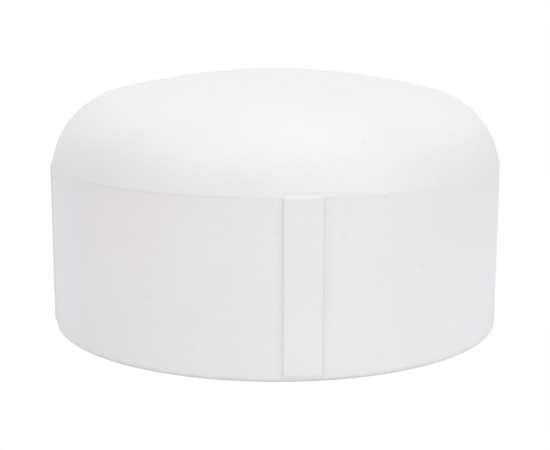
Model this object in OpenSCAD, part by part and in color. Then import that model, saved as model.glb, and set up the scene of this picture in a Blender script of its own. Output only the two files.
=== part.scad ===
// Domed slip-on cap for a 4 inch pipe, one injection moulding.
// The cap stands on its open rim: the centre of the rim is the origin,
// +Z runs up the bore to the crown, and one grip rib faces each of -Y, +X, +Y and -X.
// All lengths are in millimetres.

/* [Skirt] */
// Outer diameter of the skirt at the parting line
body_d = 127; // [125:0.5:134]
// Height of the parting line, where the skirt meets the dome
seam_z = 46.2; // [46:0.1:54]
// Mould draft of the skirt: how much its radius shrinks from parting line to rim
skirt_draft = 0.06; // [0.05:0.01:0.5]
// Radius of the rounded outer edge of the rim
rim_round = 1.6; // [0.5:0.1:2.5]

/* [Dome] */
// Radius of the knuckle, the tight curve between skirt and crown
knuckle_r = 24; // [20:0.5:28]
// Radius of the crown, the shallow curve across the top
crown_r = 183; // [150:1:240]
// Step at the parting line: how far the dome's lower edge sits inside the skirt
parting_step = 0.05; // [0.05:0.05:0.4]
// Lean of the dome wall from vertical at the parting line, in degrees
seam_lean = 8; // [3:0.5:14]
// Wall thickness at the middle of the crown
crown_wall = 6.8; // [5.5:0.1:8]
// Radius of the knuckle inside the dome
inner_knuckle_r = 14; // [10:0.5:16]

/* [Socket] */
// Inner diameter of the socket, which takes a 114.3 mm pipe
socket_d = 114.6; // [114.4:0.1:115.2]
// Depth of the socket, from the rim up to the pipe stop
socket_depth = 45; // [40:0.5:45.5]
// Inner diameter of the pipe stop, the ledge that the pipe's end meets
stop_d = 107.6; // [104:0.2:111]
// Size of the 45 degree lead-in at the mouth of the socket
lead_in = 1; // [0.4:0.1:1.6]

/* [Grip ribs] */
// Number of grip ribs round the skirt
rib_count = 4; // [2:1:12]
// Width of a rib's outer face
rib_w = 9.4; // [5:0.1:16]
// How far a rib stands proud of the skirt
rib_t = 0.4; // [0.3:0.05:1.5]
// Height of a rib's foot above the rim
rib_foot = 1.4; // [1:0.1:8]
// Height of a rib's top bevel
rib_bevel = 0.7; // [0.3:0.05:1.5]

/* [Hidden] */
$fn = 180;
// how far a cutting shape runs past a face
over = 5;
// how far each crown is lowered into its knuckle
crease = 0.01;
skirt_r = body_d / 2;
rim_r = skirt_r - skirt_draft;
socket_r = socket_d / 2;
stop_r = stop_d / 2;
// centre of the outer knuckle
kx = skirt_r - parting_step - knuckle_r * cos(seam_lean);
kz = seam_z - knuckle_r * sin(seam_lean);
// the crown is tangent to the knuckle; crown_a is the angle off +Z where they meet
crown_a = asin(kx / (crown_r - knuckle_r));
crown_z = kz - (crown_r - knuckle_r) * cos(crown_a);
top_z = crown_z + crown_r - crease;
// the same for the inner surface, which ends at the pipe stop
inner_crown_r = crown_r - crown_wall;
ix = stop_r - inner_knuckle_r;
inner_a = asin(ix / (inner_crown_r - inner_knuckle_r));
iz = crown_z + (inner_crown_r - inner_knuckle_r) * cos(inner_a);

// Half section under a crown arc and a knuckle arc, standing on the line z = base.
// The crown is lowered by crease, so that it crosses the knuckle instead of only
// touching it, and the two surfaces meet in one clean edge.
module two_arc_section(cr, cz, kr, kx, kz, a, base, top) {
    foot = [kx + (base - kz) * tan(a), base];
    tip = [(cr + over) * sin(a), cz + (cr + over) * cos(a)];
    intersection() {
        translate([0, cz - crease]) circle(r = cr);
        union() {
            polygon([[0, base], foot, tip, [0, top + 2 * over]]);
            intersection() {
                translate([kx, kz]) circle(r = kr);
                translate([0, base]) square([kx + kr + over, kr + 2 * over]);
            }
        }
    }
}

// Half section of the skirt, solid to the axis, with its rounded rim edge
module skirt_section() {
    polygon([[0, 0], [rim_r - rim_round, 0], [rim_r, rim_round], [skirt_r, seam_z], [0, seam_z]]);
    translate([rim_r - rim_round, rim_round]) circle(r = rim_round);
}

// Half section of the dome, solid to the axis
module dome_section() {
    two_arc_section(crown_r, crown_z, knuckle_r, kx, kz, crown_a, seam_z, top_z);
}

// Half section of the hollow: lead-in, socket, pipe stop and the inside of the dome
module hollow_section() {
    polygon([
        [0, -1], [socket_r + lead_in + 1, -1], [socket_r, lead_in], [socket_r, socket_depth],
        [stop_r, socket_depth], [stop_r, iz], [0, iz]
    ]);
    two_arc_section(inner_crown_r, crown_z, inner_knuckle_r, ix, iz, inner_a, iz,
        top_z - crown_wall);
}

// Shell of the cap, turned about the bore
module shell() {
    rotate_extrude() difference() {
        union() {
            skirt_section();
            dome_section();
        }
        hollow_section();
    }
}

// Ring that the ribs are cut from, bevelled at its top and foot
module rib_ring() {
    rib_top = seam_z - 0.05;
    rotate_extrude() polygon([
        [skirt_r - 2, rib_foot], [skirt_r - 0.6, rib_foot], [skirt_r + rib_t, rib_foot + 0.6],
        [skirt_r + rib_t, rib_top - rib_bevel], [skirt_r - 0.2, rib_top], [skirt_r - 2, rib_top]
    ]);
}

// One grip rib on the +X side, with 45 degree flanks and an outer face that follows the skirt
module grip_rib() {
    face = rib_w / 2;
    root = rib_w / 2 + rib_t + 1;
    intersection() {
        rib_ring();
        linear_extrude(height = seam_z + over) polygon([
            [skirt_r - 3, -root], [skirt_r - 1, -root], [skirt_r + rib_t, -face],
            [skirt_r + rib_t + 1, -face], [skirt_r + rib_t + 1, face], [skirt_r + rib_t, face],
            [skirt_r - 1, root], [skirt_r - 3, root]
        ]);
    }
}

module cap() {
    color([0.93, 0.93, 0.92]) union() {
        shell();
        for (i = [0 : rib_count - 1]) rotate([0, 0, 360 / rib_count * i]) grip_rib();
    }
}

cap();
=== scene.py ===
import math

import bpy
import numpy as np
from mathutils import Matrix, Vector


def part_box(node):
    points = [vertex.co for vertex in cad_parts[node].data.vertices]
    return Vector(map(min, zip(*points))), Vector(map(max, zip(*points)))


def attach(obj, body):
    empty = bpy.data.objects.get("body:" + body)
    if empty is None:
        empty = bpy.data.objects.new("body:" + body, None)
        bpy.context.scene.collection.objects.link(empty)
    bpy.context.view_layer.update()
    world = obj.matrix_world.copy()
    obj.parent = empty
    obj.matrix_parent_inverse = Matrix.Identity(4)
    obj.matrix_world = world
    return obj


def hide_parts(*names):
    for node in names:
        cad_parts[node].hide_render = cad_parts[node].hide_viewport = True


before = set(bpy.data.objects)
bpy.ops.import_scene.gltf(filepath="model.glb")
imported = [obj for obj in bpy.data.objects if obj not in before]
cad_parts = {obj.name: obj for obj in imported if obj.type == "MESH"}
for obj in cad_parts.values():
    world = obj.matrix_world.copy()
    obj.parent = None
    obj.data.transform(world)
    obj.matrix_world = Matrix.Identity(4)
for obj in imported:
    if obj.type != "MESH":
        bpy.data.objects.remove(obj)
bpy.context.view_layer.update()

# ---------------------------------------------------------------------------
# Sizes, in millimetres. The rib face and the crown's height are taken from the imported part's own box, where the ribs
# reach furthest out and the crown is the highest point; the ribs stand 0.4 mm past the skirt, and the other sizes are
# given.
# ---------------------------------------------------------------------------
NODE = "cap"
low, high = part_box(NODE)
RIB_FACE = (high[0] - low[0]) * 500.0  # 63.9
TOP = high[2] * 1000.0  # 71.88
RIB_T = 0.4
R = RIB_FACE - RIB_T  # 63.5
R_RIM = R - 0.05
R_SEAM = R - 0.05
SEAM = 46.2
RIM_ROUND = 1.6
SOCKET_R = 57.3
STOP_Z = 45.0
STOP_R = 53.8
LEAD_IN = 1.0
RIB_W = 9.5
RIBS = [-90.0, 0.0, 90.0, 180.0]  # azimuths of the rib centres, degrees from +X


# ---------------------------------------------------------------------------
# Small numeric helpers
# ---------------------------------------------------------------------------
def smin(a, b, k):
    """Smooth minimum: a rounded inner corner of size k."""
    h = np.maximum(k - np.abs(a - b), 0.0) / k
    return np.minimum(a, b) - h * h * k * 0.25


def smax(a, b, k):
    return -smin(-a, -b, k)


def step(x, a, b):
    t = np.clip((x - a) / (b - a), 0.0, 1.0)
    return t * t * (3.0 - 2.0 * t)


def wave(phi, seed, lowest=3, highest=40, power=1.1):
    """A periodic wander round the cap, about -1 to 1, the same on every run."""
    rng = np.random.RandomState(seed)
    out = np.zeros_like(phi)
    norm = 0.0
    for k in range(lowest, highest):
        a = 1.0 / k ** power
        out += a * np.sin(k * phi + rng.uniform(0.0, 2.0 * math.pi))
        norm += a * a * 0.5
    return out / math.sqrt(norm) * 0.45


def arcs(start, slopes, radii, n):
    """Points along tangent arcs. slopes are in degrees below level, from steep to flat."""
    x, y = start
    pts = [(x, y)]
    for i, rho in enumerate(radii):
        s0, s1 = math.radians(slopes[i]), math.radians(slopes[i + 1])
        cx, cy = x - rho * math.sin(s0), y - rho * math.cos(s0)
        for j in range(1, n[i] + 1):
            s = s0 + (s1 - s0) * j / n[i]
            pts.append((cx + rho * math.sin(s), cy + rho * math.cos(s)))
        x, y = pts[-1]
    return pts


# ---------------------------------------------------------------------------
# The turned section, as rings. Each ring is (radius, height, kind) where kind
# says which set of azimuths it is cut into: "fine" where ribs stand, "round"
# elsewhere, then fewer towards the two poles.
# ---------------------------------------------------------------------------
def azimuth_sets():
    mm = math.degrees(1.0 / R)
    half = RIB_W / 2.0
    off = [0.0, 1.2, 2.4, 3.4, 4.0, half - 0.5]
    off += list(np.arange(half - 0.38, half + 0.62, 0.055))
    off += [half + x for x in (0.68, 0.78, 0.9, 1.05, 1.25, 1.5, 1.85, 2.3, 3.0)]
    edge = off[-1] * mm
    fine = []
    for c in RIBS:
        for o in off:
            fine.append(c + o * mm)
            if o:
                fine.append(c - o * mm)
        gap = 90.0 - 2.0 * edge
        n = int(round(gap / 1.25))
        for j in range(1, n):
            fine.append(c + edge + gap * j / n)
    fine = np.sort(np.mod(np.array(fine) + 360.0, 360.0))
    return {
        "fine": np.radians(fine),
        "round": np.radians(np.arange(256) * 360.0 / 256),
        "half": np.radians(np.arange(128) * 360.0 / 128),
        "few": np.radians(np.arange(48) * 360.0 / 48),
    }


SETS = azimuth_sets()

# the dome's outside, from the parting line to the crown
DOME_SLOPES = [78.5, 76.0, 66.0, 52.0, 38.0, 26.0, 14.0, 7.0, 0.0]
DOME_RADII = [50.0, 29.55, 21.61, 23.1, 27.73, 14.46, 218.85, 168.93]
dome = arcs((R - 0.03, SEAM), DOME_SLOPES, DOME_RADII, [8, 10, 10, 10, 9, 12, 12, 14])
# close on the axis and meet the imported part's own height
dome = np.array(dome)
dome[:, 0] -= dome[-1, 0] * (1.0 - (dome[:, 0] - dome[-1, 0]) / (dome[0, 0] - dome[-1, 0]))
dome[:, 1] = SEAM + (dome[:, 1] - SEAM) * (TOP - SEAM) / (dome[-1, 1] - SEAM)


def dome_radius(z):
    """Outer radius of the dome near the parting line."""
    return np.interp(z, dome[:16, 1], dome[:16, 0])


def skirt_radius(z):
    return R_RIM + (R_SEAM - R_RIM) * np.clip((z - RIM_ROUND) / (SEAM - RIM_ROUND), 0.0, 1.0)


def rim_radius(z):
    """The skirt's radius with its rounded rim edge."""
    dz = max(RIM_ROUND - z, 0.0)
    return skirt_radius(z) - RIM_ROUND + math.sqrt(max(RIM_ROUND ** 2 - dz ** 2, 0.0))


def outer_rings():
    """Heights of the rings up the outside of the skirt and over the parting line."""
    heights = [RIM_ROUND * (1.0 - math.cos(math.radians(t))) for t in np.linspace(0.0, 90.0, 23)]
    heights += list(np.arange(RIM_ROUND + 0.09, 2.95, 0.09))
    heights += [3.1, 3.5, 4.2, 5.6, 8.0, 12.0, 16.5, 21.0, 25.5, 30.0, 34.5, 38.5, 41.5, 43.2, 44.1, 44.6, 44.85]
    heights += list(np.arange(45.0, 47.0, 0.05)) + [47.1, 47.25, 47.4, 47.55]
    return heights


def outer_surface(phi, z):
    """Outer radius at one height, and how much painted shade sits there, 0 to 1."""
    # how clear the parting line is: the two mould halves met a hair out of
    # line, so the dome stands proud of the skirt on one side and fades to
    # flush on the other
    turn = np.degrees(np.angle(np.exp(1j * (phi - math.radians(216.0)))))
    clear = 0.14 + 0.86 * np.exp(-((np.abs(turn) / 50.0) ** 5)) + 0.20 * wave(phi, 11, 6, 70, 0.5)
    clear = np.clip(clear, 0.06, 1.15)
    line = SEAM + 0.17 + 0.02 * wave(phi, 12)
    ledge = 0.12 * clear
    skirt = skirt_radius(z) - ledge * np.exp(-np.maximum(line - z, 0.0) / 7.0)
    if z < RIM_ROUND:
        skirt = np.full_like(phi, rim_radius(z))
    shell = dome_radius(max(z, SEAM)) - (0.0 if z >= SEAM else 0.2 * (z - SEAM))
    t = np.clip((z - (line - 0.40)) / 0.52, 0.0, 1.0)
    t = t * t * (3.0 - 2.0 * t)
    base = skirt + (shell - skirt) * t
    # painted shade: a dark line along the parting line, strongest where the dome stands proud, and a fainter painted
    # shade for a few millimetres under its ledge
    painted_shade = 0.34 * clear * np.exp(-(((z - line + 0.12) / 0.18) ** 2))
    painted_shade = painted_shade + 0.15 * (0.55 + 0.45 * clear) * step(line - z, 0.0, 0.4) * np.exp(-np.maximum(line - z, 0.0) / 5.0)
    # painted shade round the foot of the skirt, where the rounded rim turns down to the floor
    painted_shade = np.maximum(painted_shade, 0.75 * step(1.7 - z, 0.0, 1.6))
    # the ribs: bevelled top, steep flanks that sweep softly into the skirt, and
    # a rounded foot that runs into the rim's edge
    half = RIB_W / 2.0
    if z < SEAM + 1.36:
        best = np.zeros_like(phi)
        sweep = np.zeros_like(phi)
        for c in RIBS:
            way = np.angle(np.exp(1j * (phi - math.radians(c))))
            u = np.abs(way) * R - half
            flank = RIB_FACE + 0.03 - (u + 0.05) * 1.15
            top = R_SEAM + (SEAM + 0.42 - z) * 0.82
            dz = max(2.75 - z, 0.0)
            foot = RIB_FACE - 2.1 + math.sqrt(max(2.1 ** 2 - dz ** 2, 0.0)) if dz < 2.1 else 0.0
            q = smin(smin(np.full_like(phi, RIB_FACE), flank, 0.22), np.full_like(phi, top), 0.42)
            q = smin(q, np.full_like(phi, foot), 0.20)
            best = np.maximum(best, q)
            fade = float(step(z, 1.6, 3.2) * (1.0 - step(z, SEAM - 1.6, SEAM - 0.5)))
            sweep = np.maximum(sweep, 0.15 * fade * np.exp(-(np.maximum(u, 0.0) / 1.0) ** 1.4))
            # painted shade in the inner corners where each rib's flanks meet the skirt, with a tail a millimetre or so
            # out from the rib and a slow ripple up its height
            inside = float(step(z, 1.3, 2.2) * (1.0 - step(z, SEAM - 0.55, SEAM - 0.15)))
            grain = 0.90 + 0.10 * math.sin(z * 1.7 + c) * math.sin(z * 0.61 + 1.0)
            shade_weight = np.exp(-(((u - 0.26) / 0.26) ** 2))
            shade_weight = np.maximum(shade_weight, 0.58 * np.exp(-(np.maximum(u - 0.26, 0.0) / 1.1) ** 1.4) * (u > 0.26))
            painted_shade = np.maximum(painted_shade, 0.92 * inside * grain * shade_weight)
            # a faint painted shade line on the dome just above the top of each rib
            shade_above_rib = 0.22 * math.exp(-(((z - SEAM - 0.95) / 0.28) ** 2))
            painted_shade = np.maximum(painted_shade, shade_above_rib * step(-u, -0.4, 0.1))
        base = smax(base + sweep, best, 0.12)
    return base, painted_shade


class Builder:
    def __init__(self):
        self.v, self.f, self.count, self.painted_shade = [], [], 0, []

    def ring(self, radius, z, kind, painted_shade=0.0):
        phi = SETS[kind]
        r = radius if isinstance(radius, np.ndarray) else np.full(len(phi), radius)
        zz = z if isinstance(z, np.ndarray) else np.full(len(phi), z)
        self.v.append(np.column_stack([r * np.cos(phi), r * np.sin(phi), zz]))
        self.painted_shade.append(np.full(len(phi), 0.0) + painted_shade)
        ids = np.arange(self.count, self.count + len(phi))
        self.count += len(phi)
        return ids, phi

    def point(self, z):
        self.v.append(np.array([[0.0, 0.0, z]]))
        self.painted_shade.append(np.zeros(1))
        self.count += 1
        return self.count - 1

    def join(self, a, b, flip=False):
        """Faces between two rings: quads where their azimuths agree, a zip of triangles where not."""
        (ia, pa), (ib, pb) = a, b
        if len(ia) == len(ib) and np.allclose(pa, pb):
            ja, jb = np.roll(ia, -1), np.roll(ib, -1)
            quads = np.column_stack([ia, ja, jb, ib])
            faces = quads.tolist()
        else:
            faces = []
            na, nb = len(ia), len(ib)
            i = j = 0
            ea = np.append(pa, pa[0] + 2 * math.pi)
            eb = np.append(pb, pb[0] + 2 * math.pi)
            while i < na or j < nb:
                nxt_a = ea[i + 1] if i < na else 1e9
                nxt_b = eb[j + 1] if j < nb else 1e9
                if nxt_a <= nxt_b:
                    faces.append([ia[i % na], ia[(i + 1) % na], ib[j % nb]])
                    i += 1
                else:
                    faces.append([ia[i % na], ib[(j + 1) % nb], ib[j % nb]])
                    j += 1
        if flip:
            faces = [f[::-1] for f in faces]
        self.f.extend([[int(x) for x in f] for f in faces])

    def fan(self, a, p, flip=False):
        ia, _ = a
        ja = np.roll(ia, -1)
        faces = [[int(x), int(y), p] for x, y in zip(ia, ja)]
        if flip:
            faces = [f[::-1] for f in faces]
        self.f.extend(faces)


def build_cap():
    b = Builder()
    phi_f = SETS["fine"]
    previous = None
    first = None
    # outside of the skirt, with its ribs and parting line
    for z in outer_rings():
        radius, painted_shade = outer_surface(phi_f, z)
        ring = b.ring(radius, z, "fine", painted_shade)
        if previous is None:
            first = ring
        else:
            b.join(previous, ring)
        previous = ring
    # outside of the dome
    for i in range(len(dome)):
        r, z = dome[i]
        if z < 47.65 or r < 1e-6:
            continue
        kind = "round" if r > 34.0 else "half" if r > 11.0 else "few"
        ring = b.ring(r, z, kind)
        b.join(previous, ring)
        previous = ring
        last_r = r
    # the crown's centre, with the scar of the moulding gate: a flat disc, a hair below the crown, with a soft rim
    def crown_z(r):
        return np.interp(-r, -dome[:, 0], dome[:, 1])
    inner = [x for x in (3.6, 3.3, 3.12, 3.0, 2.88, 2.76, 2.6, 2.2, 1.5, 0.8) if x < last_r]
    for r in inner:
        z = crown_z(r)
        z -= 0.10 * (1.0 - step(r, 2.72, 3.1))
        z += 0.05 * math.exp(-(((r - 3.2) / 0.16) ** 2))
        ring = b.ring(r, z, "few")
        b.join(previous, ring)
        previous = ring
    b.fan(previous, b.point(crown_z(0.0) - 0.10))

    # underside: flat of the rim inwards, the lead-in, the socket and the stop
    inside = []
    for r in (61.2, 60.2, 59.2, 58.62):
        inside.append((r, 0.0))
    for t in (0.0, 0.33, 0.66, 1.0):
        inside.append((SOCKET_R + LEAD_IN + 0.12 - 0.24 * t, 0.02 + 0.20 * t * t))
    inside += [(SOCKET_R + 0.12, LEAD_IN - 0.10), (SOCKET_R + 0.04, LEAD_IN + 0.02), (SOCKET_R + 0.01, LEAD_IN + 0.20)]
    for z in (2.0, 4.0, 8.0, 13.0, 18.0, 23.0, 28.0, 33.0, 38.0, 42.0, 43.8, 44.5):
        inside.append((SOCKET_R, z))
    # fillet in the corner of the stop, then the ledge
    for t in np.linspace(0.0, 90.0, 7):
        a = math.radians(t)
        inside.append((SOCKET_R - 0.3 + 0.3 * math.cos(a), STOP_Z - 0.3 + 0.3 * math.sin(a)))
    inside += [(56.0, STOP_Z), (55.0, STOP_Z)]
    for t in np.linspace(0.0, 90.0, 7):
        a = math.radians(t)
        inside.append((STOP_R + 0.25 - 0.25 * math.sin(a), STOP_Z + 0.25 - 0.25 * math.cos(a)))
    # inside of the dome: a knuckle of 14 mm, then the inner crown
    crown_r, wall = 183.0, 6.8
    kx = R - 0.05 - 24.0 * math.cos(math.radians(8.0))
    kz = SEAM - 24.0 * math.sin(math.radians(8.0))
    cz = kz - (crown_r - 24.0) * math.cos(math.asin(kx / (crown_r - 24.0)))
    ir, ix = crown_r - wall, STOP_R - 14.0
    ia = math.asin(ix / (ir - 14.0))
    iz = cz + (ir - 14.0) * math.cos(ia)
    inside.append((STOP_R, STOP_Z + 0.6))
    for t in np.linspace(0.0, 90.0 - math.degrees(ia), 26):
        a = math.radians(t)
        inside.append((ix + 14.0 * math.cos(a), iz + 14.0 * math.sin(a)))
    # the inner crown, with the witness ring of the mould's core insert
    for r in (38.0, 35.5, 33.0, 30.5, 28.0, 26.4, 25.6, 25.3, 25.15, 25.0, 24.85, 24.7, 24.4, 23.6, 21.5, 18.0, 14.5, 11.0, 8.0, 5.0, 2.5):
        z = cz + math.sqrt(ir * ir - r * r)
        z -= 0.10 * (1.0 - step(r, 24.8, 25.2))
        inside.append((r, z))
    previous = first
    for r, z in inside:
        kind = "round" if r > 28.5 else "half" if r > 9.0 else "few"
        ring = b.ring(r, z, kind)
        b.join(previous, ring, flip=True)
        previous = ring
    b.fan(previous, b.point(cz + ir - 0.10), flip=True)

    co = np.vstack(b.v) / 1000.0
    me = bpy.data.meshes.new("cap_moulding")
    me.from_pydata(co.tolist(), [], b.f)
    me.validate()
    me.update()
    # a per-vertex weight of painted shade, which the material turns into a darker grey
    layer = me.attributes.new("painted_shade", "FLOAT", "POINT")
    layer.data.foreach_set("value", np.concatenate(b.painted_shade).astype(np.float32))
    me.polygons.foreach_set("use_smooth", np.ones(len(me.polygons), dtype=bool))
    ob = bpy.data.objects.new("cap_moulding", me)
    bpy.context.scene.collection.objects.link(ob)
    return ob


cap = build_cap()


# ---------------------------------------------------------------------------
# Material: rigid white plastic as it comes out of the mould
# ---------------------------------------------------------------------------
def plastic():
    mat = bpy.data.materials.new("white_rigid_plastic")
    mat.use_nodes = True
    nt = mat.node_tree
    nt.nodes.clear()
    new, link = nt.nodes.new, nt.links.new

    def at(node, x, y):
        node.location = (x, y)
        return node

    out = at(new("ShaderNodeOutputMaterial"), 900, 0)
    bsdf = at(new("ShaderNodeBsdfPrincipled"), 600, 0)
    link(bsdf.outputs["BSDF"], out.inputs["Surface"])
    bsdf.inputs["IOR"].default_value = 1.53
    bsdf.inputs["Specular IOR Level"].default_value = 0.42

    coord = at(new("ShaderNodeTexCoord"), -1500, 0)

    def noise(scale, detail, rough, x, y, w=None):
        n = at(new("ShaderNodeTexNoise"), x, y)
        n.inputs["Scale"].default_value = scale
        n.inputs["Detail"].default_value = detail
        n.inputs["Roughness"].default_value = rough
        link(coord.outputs["Object"], n.inputs["Vector"])
        return n

    def ramp(src, stops, x, y):
        r = at(new("ShaderNodeValToRGB"), x, y)
        while len(r.color_ramp.elements) < len(stops):
            r.color_ramp.elements.new(0.5)
        for e, (p, c) in zip(r.color_ramp.elements, stops):
            e.position = p
            e.color = (*c, 1.0) if len(c) == 3 else c
        link(src, r.inputs["Fac"])
        return r

    def mix(kind, fac, a, bb, x, y):
        m = at(new("ShaderNodeMix"), x, y)
        m.data_type = "RGBA"
        m.blend_type = kind
        if isinstance(fac, float):
            m.inputs[0].default_value = fac
        else:
            link(fac, m.inputs[0])
        for value, socket in ((a, m.inputs[6]), (bb, m.inputs[7])):
            if isinstance(value, tuple):
                socket.default_value = value
            else:
                link(value, socket)
        return m.outputs[2]

    # broad, faint clouding of the resin, warm to cool
    cloud = noise(26.0, 3.0, 0.55, -1200, 300)
    base = ramp(cloud.outputs["Fac"], [(0.30, (0.800, 0.799, 0.793)), (0.70, (0.826, 0.824, 0.820))], -900, 300)
    # fine mottle, about a millimetre across
    mottle = noise(900.0, 4.0, 0.6, -1200, 0)
    fine = ramp(mottle.outputs["Fac"], [(0.25, (0.975, 0.975, 0.975)), (0.75, (1.0, 1.0, 1.0))], -900, 0)
    colour = mix("MULTIPLY", 1.0, base.outputs["Color"], fine.outputs["Color"], -600, 200)
    # sparse, soft grey specks in the moulding, about a millimetre across
    cells = at(new("ShaderNodeTexVoronoi"), -1200, -350)
    cells.inputs["Scale"].default_value = 190.0
    cells.inputs["Randomness"].default_value = 1.0
    link(coord.outputs["Object"], cells.inputs["Vector"])
    dot = ramp(cells.outputs["Distance"], [(0.015, (1.0, 1.0, 1.0)), (0.125, (0.0, 0.0, 0.0))], -900, -350)
    pick = at(new("ShaderNodeSeparateColor"), -900, -620)
    link(cells.outputs["Color"], pick.inputs["Color"])
    some = ramp(pick.outputs["Red"], [(0.30, (0.0, 0.0, 0.0)), (0.85, (1.0, 1.0, 1.0))], -700, -620)
    mask = mix("MULTIPLY", 1.0, dot.outputs["Color"], some.outputs["Color"], -450, -400)
    colour = mix("MIX", mask, colour, (0.748, 0.741, 0.731, 1.0), -150, 100)
    # painted shade, from a per-vertex weight on the mesh: darker in the corners of the ribs, along and just under the
    # parting line, and at the rim
    shade_weight = at(new("ShaderNodeAttribute"), -450, 450)
    shade_weight.attribute_type = "GEOMETRY"
    shade_weight.attribute_name = "painted_shade"
    colour = mix("MIX", shade_weight.outputs["Fac"], colour, (0.70, 0.694, 0.698, 1.0), 50, 250)
    link(colour, bsdf.inputs["Base Color"])

    # satin, a little smoother where the mould was polished
    sheen = noise(60.0, 4.0, 0.6, -1200, -850)
    rough = at(new("ShaderNodeMapRange"), -900, -850)
    rough.inputs["From Min"].default_value = 0.3
    rough.inputs["From Max"].default_value = 0.7
    rough.inputs["To Min"].default_value = 0.40
    rough.inputs["To Max"].default_value = 0.50
    link(sheen.outputs["Fac"], rough.inputs["Value"])
    link(rough.outputs["Result"], bsdf.inputs["Roughness"])

    # moulded skin: a very fine grain over a slow orange peel
    grain = noise(2600.0, 3.0, 0.6, -1200, -1150)
    peel = noise(140.0, 2.0, 0.5, -1200, -1400)
    fine_bump = at(new("ShaderNodeBump"), 300, -700)
    fine_bump.inputs["Strength"].default_value = 0.10
    fine_bump.inputs["Distance"].default_value = 0.00005
    link(grain.outputs["Fac"], fine_bump.inputs["Height"])
    slow_bump = at(new("ShaderNodeBump"), 100, -900)
    slow_bump.inputs["Strength"].default_value = 0.25
    slow_bump.inputs["Distance"].default_value = 0.00008
    link(peel.outputs["Fac"], slow_bump.inputs["Height"])
    link(slow_bump.outputs["Normal"], fine_bump.inputs["Normal"])
    link(fine_bump.outputs["Normal"], bsdf.inputs["Normal"])
    return mat


cap.data.materials.append(plastic())
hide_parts(NODE)
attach(cap, "root")


# ---------------------------------------------------------------------------
# Stage: a plain pale floor that runs on into a pale room
# ---------------------------------------------------------------------------
POOL = 0.105
SKY = (0.260, 0.263, 0.266, 1.0)
HORIZON = (0.424, 0.424, 0.442, 1.0)
BACKDROP = (0.590, 0.576, 0.568, 1.0)


def floor():
    me = bpy.data.meshes.new("floor")
    n, radius = 96, 8.0
    vs = [(radius * math.cos(2 * math.pi * i / n), radius * math.sin(2 * math.pi * i / n), 0.0) for i in range(n)]
    me.from_pydata(vs, [], [list(range(n))])
    ob = bpy.data.objects.new("floor", me)
    bpy.context.scene.collection.objects.link(ob)
    mat = bpy.data.materials.new("pale_floor")
    mat.use_nodes = True
    nt = mat.node_tree
    b = nt.nodes["Principled BSDF"]
    b.inputs["Base Color"].default_value = (0.93, 0.90, 0.94, 1.0)
    b.inputs["Roughness"].default_value = 0.9
    b.inputs["Specular IOR Level"].default_value = 0.1
    # a faint pool of light on the floor round the cap
    b.inputs["Emission Color"].default_value = (0.76, 1.0, 1.0, 1.0)
    coord = nt.nodes.new("ShaderNodeTexCoord")
    reach = nt.nodes.new("ShaderNodeVectorMath")
    reach.operation = "LENGTH"
    pool = nt.nodes.new("ShaderNodeMapRange")
    pool.interpolation_type = "SMOOTHSTEP"
    pool.inputs["From Min"].default_value = 0.05
    pool.inputs["From Max"].default_value = 0.12
    pool.inputs["To Min"].default_value = POOL
    pool.inputs["To Max"].default_value = 0.0
    nt.links.new(coord.outputs["Object"], reach.inputs[0])
    nt.links.new(reach.outputs["Value"], pool.inputs["Value"])
    nt.links.new(pool.outputs["Result"], b.inputs["Emission Strength"])
    # the floor shows as plain white, and still bounces the studio's own light
    plain = nt.nodes.new("ShaderNodeEmission")
    plain.inputs["Color"].default_value = (1.0, 1.0, 1.0, 1.0)
    plain.inputs["Strength"].default_value = 1.0
    path = nt.nodes.new("ShaderNodeLightPath")
    pick = nt.nodes.new("ShaderNodeMixShader")
    nt.links.new(path.outputs["Is Camera Ray"], pick.inputs[0])
    nt.links.new(b.outputs["BSDF"], pick.inputs[1])
    nt.links.new(plain.outputs["Emission"], pick.inputs[2])
    nt.links.new(pick.outputs["Shader"], nt.nodes["Material Output"].inputs["Surface"])
    me.materials.append(mat)
    return ob


floor()


def room():
    """A white room round the cap, a little brighter at the horizon, with a lit backdrop behind."""
    world = bpy.data.worlds.new("pale_room")
    bpy.context.scene.world = world
    world.use_nodes = True
    nt = world.node_tree
    back = nt.nodes["Background"]
    coord = nt.nodes.new("ShaderNodeTexCoord")
    split = nt.nodes.new("ShaderNodeSeparateXYZ")
    level = nt.nodes.new("ShaderNodeMapRange")
    level.name = "level"
    level.interpolation_type = "SMOOTHSTEP"
    level.inputs["From Min"].default_value = 0.0
    level.inputs["From Max"].default_value = 0.4
    tone = nt.nodes.new("ShaderNodeMix")
    tone.data_type = "RGBA"
    tone.inputs[6].default_value = HORIZON
    tone.inputs[7].default_value = SKY
    nt.links.new(coord.outputs["Generated"], split.inputs["Vector"])
    nt.links.new(split.outputs["Z"], level.inputs["Value"])
    nt.links.new(level.outputs["Result"], tone.inputs[0])
    behind = nt.nodes.new("ShaderNodeMapRange")
    behind.interpolation_type = "SMOOTHSTEP"
    behind.inputs["From Min"].default_value = 0.2
    behind.inputs["From Max"].default_value = 0.8
    nt.links.new(split.outputs["Y"], behind.inputs["Value"])
    lit = nt.nodes.new("ShaderNodeMix")
    lit.data_type = "RGBA"
    lit.blend_type = "ADD"
    lit.inputs[7].default_value = BACKDROP
    nt.links.new(behind.outputs["Result"], lit.inputs[0])
    nt.links.new(tone.outputs[2], lit.inputs[6])
    nt.links.new(lit.outputs[2], back.inputs["Color"])
    plain = nt.nodes.new("ShaderNodeBackground")
    plain.inputs["Color"].default_value = (1.0, 1.0, 1.0, 1.0)
    plain.inputs["Strength"].default_value = 1.0
    path = nt.nodes.new("ShaderNodeLightPath")
    pick = nt.nodes.new("ShaderNodeMixShader")
    nt.links.new(path.outputs["Is Camera Ray"], pick.inputs[0])
    nt.links.new(back.outputs["Background"], pick.inputs[1])
    nt.links.new(plain.outputs["Background"], pick.inputs[2])
    nt.links.new(pick.outputs["Shader"], nt.nodes["World Output"].inputs["Surface"])


room()


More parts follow.
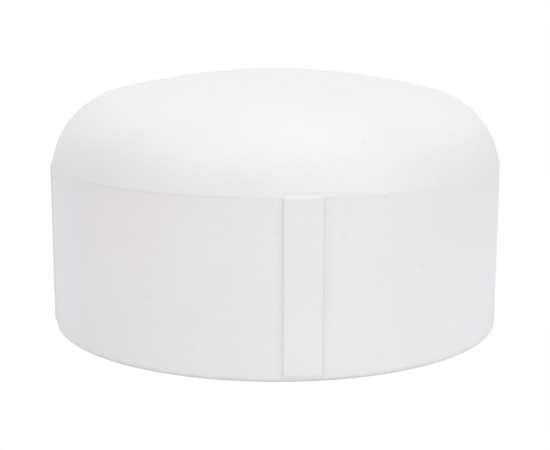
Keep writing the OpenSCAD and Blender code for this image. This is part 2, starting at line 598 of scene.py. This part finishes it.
def soft_light(name, azimuth, elevation, distance, size, power, colour=(1.0, 1.0, 1.0)):
    """A round soft light that faces the cap. azimuth 0 is the -Y side, and 90 the +X side."""
    data = bpy.data.lights.new(name, "AREA")
    data.shape = "DISK"
    data.size = size
    data.energy = power
    data.color = colour
    ob = bpy.data.objects.new(name, data)
    bpy.context.scene.collection.objects.link(ob)
    a, e = math.radians(azimuth), math.radians(elevation)
    way = Vector((math.sin(a) * math.cos(e), -math.cos(a) * math.cos(e), math.sin(e)))
    ob.location = Vector((0.0, 0.0, 0.04)) + way * distance
    ob.rotation_mode = "QUATERNION"
    ob.rotation_quaternion = (-way).to_track_quat("-Z", "Y")
    return ob


# name, azimuth, elevation, watts, colour: soft discs, 1.1 m across and 1.6 m away
LIGHTS = [
    ("top", 0.0, 88.0, 5.76, (0.94, 0.96, 1.0)),
    ("front", 0.0, 50.0, 3.07, (1.0, 0.91, 0.80)),
    ("front_right", 45.0, 50.0, 5.49, (0.887, 0.957, 1.0)),
    ("front_left", 315.0, 50.0, 7.12, (1.0, 0.962, 0.93)),
    ("back_right", 135.0, 50.0, 0.82, (0.75, 0.60, 1.0)),
    ("back_left", 225.0, 50.0, 1.35, (0.945, 1.0, 0.855)),
    ("low_right", 40.0, 18.0, 3.09, (0.912, 1.0, 0.945)),
    ("side_right", 120.0, 33.0, 1.63, (1.0, 0.953, 0.786)),
    ("side_left", 240.0, 33.0, 1.19, (0.50, 0.70, 1.0)),
]
for name, az, el, power, colour in LIGHTS:
    soft_light(name, az, el, 1.6, 1.1, power, colour)

# ---------------------------------------------------------------------------
# Camera: low in front, a little to the left of the front rib
# ---------------------------------------------------------------------------
TURN = math.radians(-6.07)
place = Vector((0.0, -5.69439, 1.56978)) * (R / 1000.0)
axis_right = Vector((0.9999974, 0.0009906, 0.0020403))
axis_down = Vector((0.0021956, -0.1971764, -0.9803656))
axis_forward = Vector((-0.0005689, 0.9803675, -0.1971781))
cam_data = bpy.data.cameras.new("camera")
cam = bpy.data.objects.new("camera", cam_data)
bpy.context.scene.collection.objects.link(cam)
turn = Matrix.Rotation(TURN, 3, "Z")
m = Matrix((turn @ axis_right, turn @ -axis_down, turn @ -axis_forward)).transposed()
cam.matrix_world = Matrix.Translation(turn @ place) @ m.to_4x4()
cam_data.sensor_width = 36.0
cam_data.sensor_fit = "HORIZONTAL"
cam_data.lens = 83.15
cam_data.clip_start, cam_data.clip_end = 0.01, 100.0
cam_data.dof.use_dof = False
bpy.context.scene.camera = cam

bpy.context.scene.view_settings.view_transform = "Standard"
bpy.context.scene.view_settings.look = "None"
